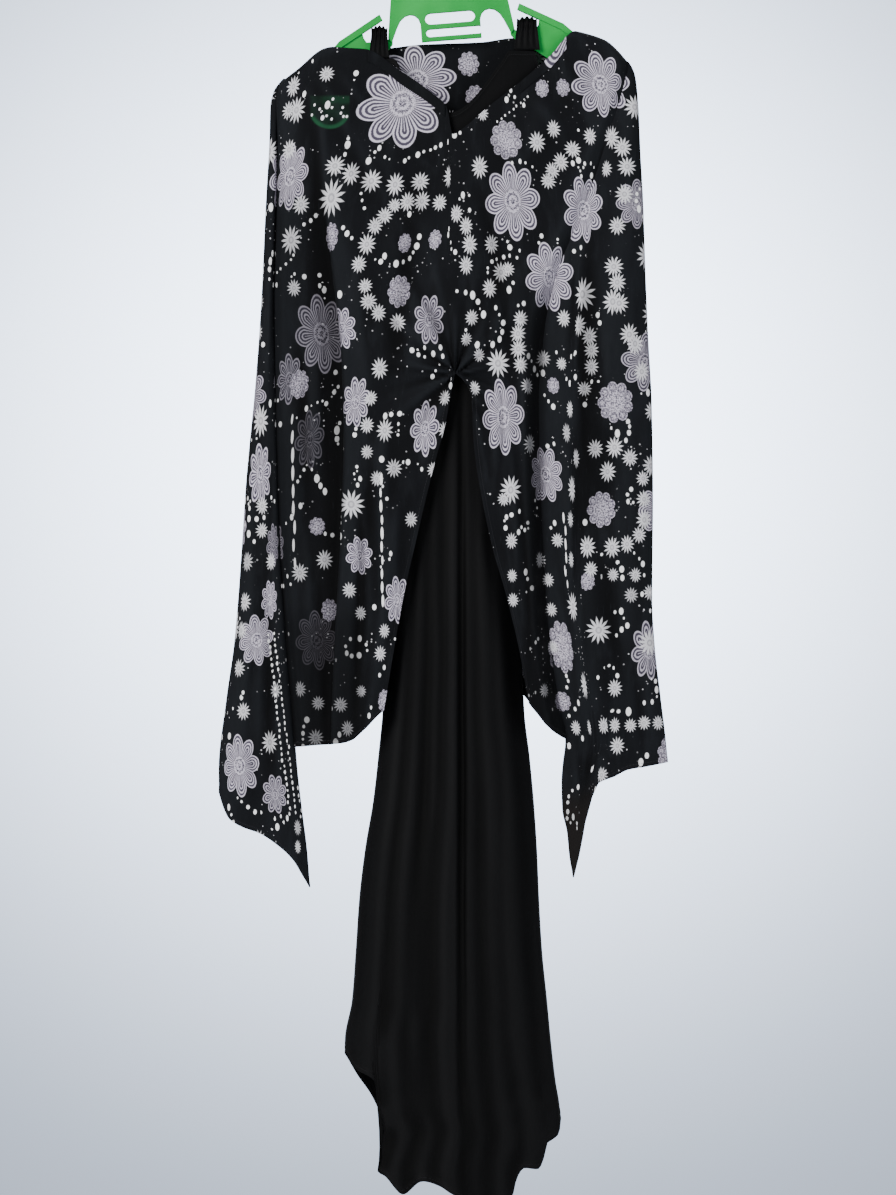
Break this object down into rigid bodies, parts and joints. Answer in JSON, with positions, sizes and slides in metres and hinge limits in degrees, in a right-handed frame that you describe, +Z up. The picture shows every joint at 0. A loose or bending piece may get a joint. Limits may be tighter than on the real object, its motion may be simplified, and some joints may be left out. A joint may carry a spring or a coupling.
{
  "type": "kaftan on a hanger",
  "caption": "Long butterfly kaftan with hanging pointed sleeves, V neck and an inverted-V front opening over a plain long under-dress, held on a plastic hanger.",
  "frame": {"origin": "inside top of the hanger's hook, where a rail carries it", "axes": "+Z up; the front of the garment faces -Y; +X is to the right of someone facing the front"},
  "size_m": [0.538, 0.0971, 1.5625],
  "materials": {
    "printed_cloth": "matt printed georgette",
    "plain_cloth": "soft matt crepe",
    "hanger_plastic": "smooth moulded plastic"
  },
  "bodies": {
    "root": {"front": "printed_cloth", "back": "printed_cloth", "sleeve_left": "printed_cloth", "sleeve_right": "printed_cloth", "neck_band_left": "plain_cloth", "neck_band_right": "printed_cloth", "dress_front": "plain_cloth", "dress_back": "plain_cloth", "strap_left": "plain_cloth", "strap_right": "plain_cloth", "hanger": "hanger_plastic"}
  },
  "joints": []
}
